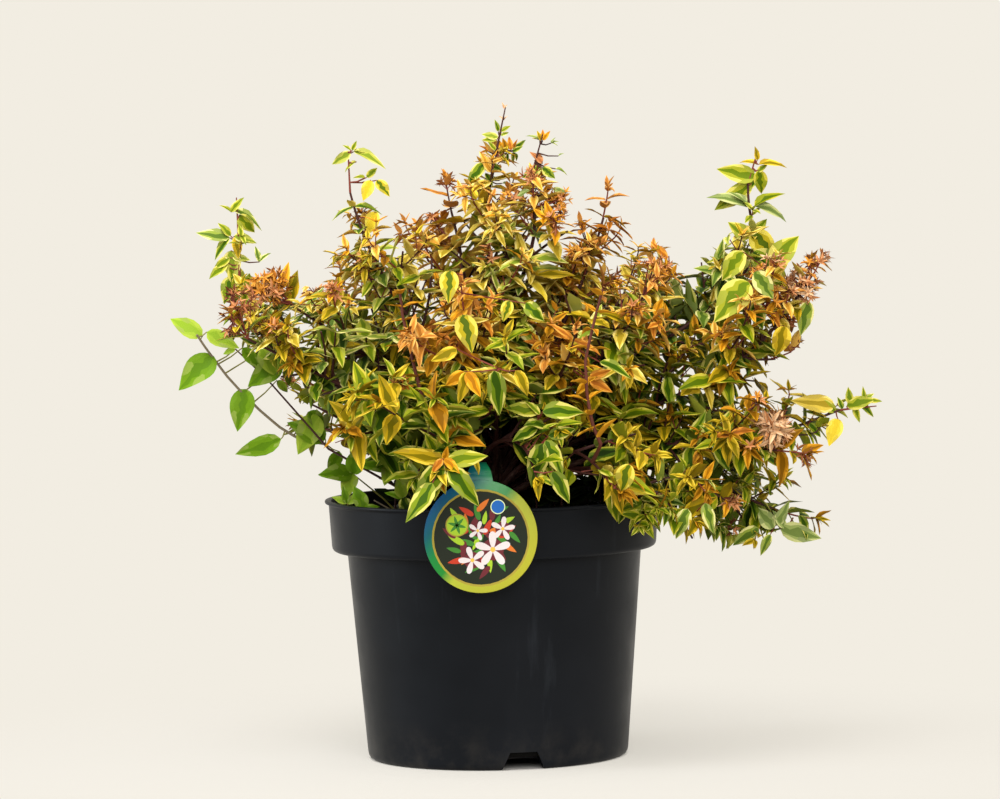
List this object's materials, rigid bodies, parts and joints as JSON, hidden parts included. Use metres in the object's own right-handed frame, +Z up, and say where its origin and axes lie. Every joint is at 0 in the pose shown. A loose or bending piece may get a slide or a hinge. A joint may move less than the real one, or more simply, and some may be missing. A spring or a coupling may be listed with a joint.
{
  "type": "potted glossy abelia",
  "caption": "Young shrub in a round black nursery pot: short stem, arching boughs and loose masses of small variegated green, yellow and bronze leaves, with a round plant tag over the rim.",
  "frame": {"origin": "middle of the pot's flat underside, on the surface it stands on", "axes": "+Z up; -Y towards the plant's front, where the plant tag hangs; +X to the right seen from the front"},
  "size_m": [0.498, 0.4007, 0.455],
  "materials": {
    "pot_plastic": "matt black moulded polypropylene",
    "compost": "dark moist peat with fibres",
    "label_print": "printed satin polystyrene card",
    "bark": "thin reddish-brown bark",
    "variegated_leaf": "glossy leaves, green with yellow edges, bronze at the tips",
    "green_leaf": "glossy plain green leaves"
  },
  "bodies": {
    "root": {"pot": "pot_plastic", "compost": "compost", "label": "label_print", "stem": "bark", "bough_top_middle": "bark", "foliage_top_middle": "variegated_leaf", "bough_top_right": "bark", "foliage_top_right": "variegated_leaf", "bough_top_left": "bark", "foliage_top_left": "variegated_leaf", "bough_upper_left": "bark", "foliage_upper_left": "variegated_leaf", "bough_left_spire": "bark", "foliage_left_spire": "variegated_leaf", "bough_left_arm_high": "bark", "foliage_left_arm_high": "variegated_leaf", "bough_left_arm_low": "bark", "foliage_left_arm_low": "variegated_leaf", "bough_left_green": "bark", "foliage_left_green": "green_leaf", "bough_right_middle": "bark", "foliage_right_middle": "variegated_leaf", "bough_right_inner": "bark", "foliage_right_inner": "variegated_leaf", "bough_right_spire": "bark", "foliage_right_spire": "variegated_leaf", "bough_right_end": "bark", "foliage_right_end": "variegated_leaf", "bough_far_right": "bark", "foliage_far_right": "variegated_leaf", "bough_right_low": "bark", "foliage_right_low": "variegated_leaf", "bough_right_drop": "bark", "foliage_right_drop": "variegated_leaf", "bough_front_right_drop": "bark", "foliage_front_right_drop": "variegated_leaf", "bough_front_right": "bark", "foliage_front_right": "variegated_leaf", "bough_front_middle": "bark", "foliage_front_middle": "variegated_leaf", "bough_front_left": "bark", "foliage_front_left": "variegated_leaf", "bough_front_centre": "bark", "foliage_front_centre": "variegated_leaf", "bough_left_front": "bark", "foliage_left_front": "variegated_leaf", "bough_front_top": "bark", "foliage_front_top": "variegated_leaf", "bough_front_top_right": "bark", "foliage_front_top_right": "variegated_leaf", "bough_back_left": "bark", "foliage_back_left": "variegated_leaf", "bough_back_middle": "bark", "foliage_back_middle": "variegated_leaf", "bough_back_right": "bark", "foliage_back_right": "variegated_leaf", "bough_back_low_left": "bark", "foliage_back_low_left": "variegated_leaf", "bough_back_low_right": "bark", "foliage_back_low_right": "variegated_leaf"}
  },
  "joints": []
}
